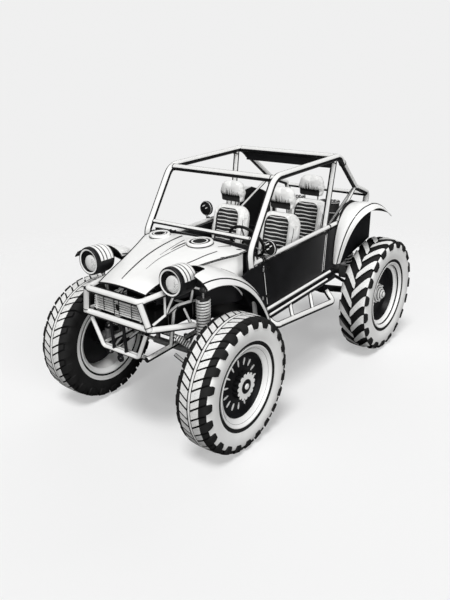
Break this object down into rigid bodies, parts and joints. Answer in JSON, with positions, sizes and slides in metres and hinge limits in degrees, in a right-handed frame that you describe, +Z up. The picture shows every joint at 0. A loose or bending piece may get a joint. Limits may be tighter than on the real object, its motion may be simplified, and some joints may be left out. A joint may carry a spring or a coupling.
{
  "type": "dune buggy",
  "caption": "Open three-seat dune buggy with a tube roll cage, round headlights, cycle fenders, a rear engine and tall chevron-tread whitewall tyres.",
  "frame": {"origin": "on the ground, at the middle of the overall length and width", "axes": "+X to the buggy's left side, -Y the way it drives, +Z up"},
  "size_m": [1.846, 3.51, 2.0218],
  "materials": {
    "body_paint": "gloss",
    "pale_paint": "gloss",
    "dark_paint": "satin",
    "black_trim": "satin",
    "seat_cloth": "matte",
    "cast_metal": "satin",
    "steel": "satin",
    "tyre": "matte"
  },
  "bodies": {
    "chassis": {"floor_tub": "dark_paint", "chassis_frame": "pale_paint", "roll_cage": "pale_paint", "rear_stays": "pale_paint", "roof_visor": "black_trim", "front_bumper": "pale_paint", "skid_guard": "pale_paint", "grille": "pale_paint", "cowl": "dark_paint", "fuel_tank": "dark_paint", "nose_sides": "dark_paint", "front_fender_left": "body_paint", "front_fender_right": "body_paint", "rear_fender_left": "body_paint", "rear_fender_right": "body_paint", "quarter_panels": "dark_paint", "side_bars": "pale_paint", "headlight_left": "body_paint", "headlight_right": "body_paint", "seat_front_left": "seat_cloth", "seat_front_right": "seat_cloth", "seat_rear_left": "seat_cloth", "engine": "cast_metal", "exhaust": "steel", "gearbox": "cast_metal", "front_arms": "pale_paint", "rear_arms": "pale_paint", "coilovers": "steel", "steering_gear": "cast_metal", "side_mirrors": "black_trim", "rear_bumper": "pale_paint"},
    "hood": {"hood": "body_paint", "hood_caps": "black_trim"},
    "door_left": {"door_left": "dark_paint"},
    "door_right": {"door_right": "dark_paint"},
    "steering_wheel": {"steering_wheel": "black_trim"},
    "steering_rack": {"steering_rack": "steel"},
    "knuckle_left": {"knuckle_left": "cast_metal"},
    "knuckle_right": {"knuckle_right": "cast_metal"},
    "wheel_front_left": {"rim_front_left": "body_paint", "tyre_front_left": "tyre"},
    "wheel_front_right": {"rim_front_right": "body_paint", "tyre_front_right": "tyre"},
    "wheel_rear_left": {"rim_rear_left": "body_paint", "tyre_rear_left": "tyre"},
    "wheel_rear_right": {"rim_rear_right": "body_paint", "tyre_rear_right": "tyre"}
  },
  "joints": [
    {"name": "steer_left", "type": "hinge", "parent": "chassis", "child": "knuckle_left", "pos_m": [0.62, -1.22, 0.535], "axis": [0, 0, 1], "range_deg": [-28, 28]},
    {"name": "steer_right", "type": "hinge", "parent": "chassis", "child": "knuckle_right", "pos_m": [-0.62, -1.22, 0.535], "axis": [0, 0, 1], "range_deg": [-28, 28]},
    {"name": "rack_slide", "type": "slide", "parent": "chassis", "child": "steering_rack", "axis": [1, 0, 0], "range_m": [-0.062, 0.062]},
    {"name": "steering_wheel_turn", "type": "hinge", "parent": "chassis", "child": "steering_wheel", "pos_m": [0.26, -0.405, 1.372], "axis": [0, 0.866, 0.5], "range_deg": [-340, 340]},
    {"name": "spin_front_left", "type": "hinge", "parent": "knuckle_left", "child": "wheel_front_left", "pos_m": [0.737, -1.22, 0.535], "axis": [1, 0, 0], "continuous": true},
    {"name": "spin_front_right", "type": "hinge", "parent": "knuckle_right", "child": "wheel_front_right", "pos_m": [-0.737, -1.22, 0.535], "axis": [1, 0, 0], "continuous": true},
    {"name": "spin_rear_left", "type": "hinge", "parent": "chassis", "child": "wheel_rear_left", "pos_m": [0.775, 1.18, 0.575], "axis": [1, 0, 0], "continuous": true},
    {"name": "spin_rear_right", "type": "hinge", "parent": "chassis", "child": "wheel_rear_right", "pos_m": [-0.775, 1.18, 0.575], "axis": [1, 0, 0], "continuous": true},
    {"name": "hood_hinge", "type": "hinge", "parent": "chassis", "child": "hood", "pos_m": [0, -0.726, 1.446], "axis": [-1, 0, 0], "range_deg": [0, 50]},
    {"name": "door_left_hinge", "type": "hinge", "parent": "chassis", "child": "door_left", "pos_m": [0.584, -0.628, 1.1], "axis": [0, 0, -1], "range_deg": [0, 60]},
    {"name": "door_right_hinge", "type": "hinge", "parent": "chassis", "child": "door_right", "pos_m": [-0.584, -0.628, 1.1], "axis": [0, 0, 1], "range_deg": [0, 60]}
  ],
  "couplings": [
    {"joint": "steer_right", "follows": "steer_left", "ratio": 1},
    {"joint": "rack_slide", "follows": "steer_left", "m_per_rad": -0.125},
    {"joint": "steering_wheel_turn", "follows": "steer_left", "ratio": 12}
  ]
}
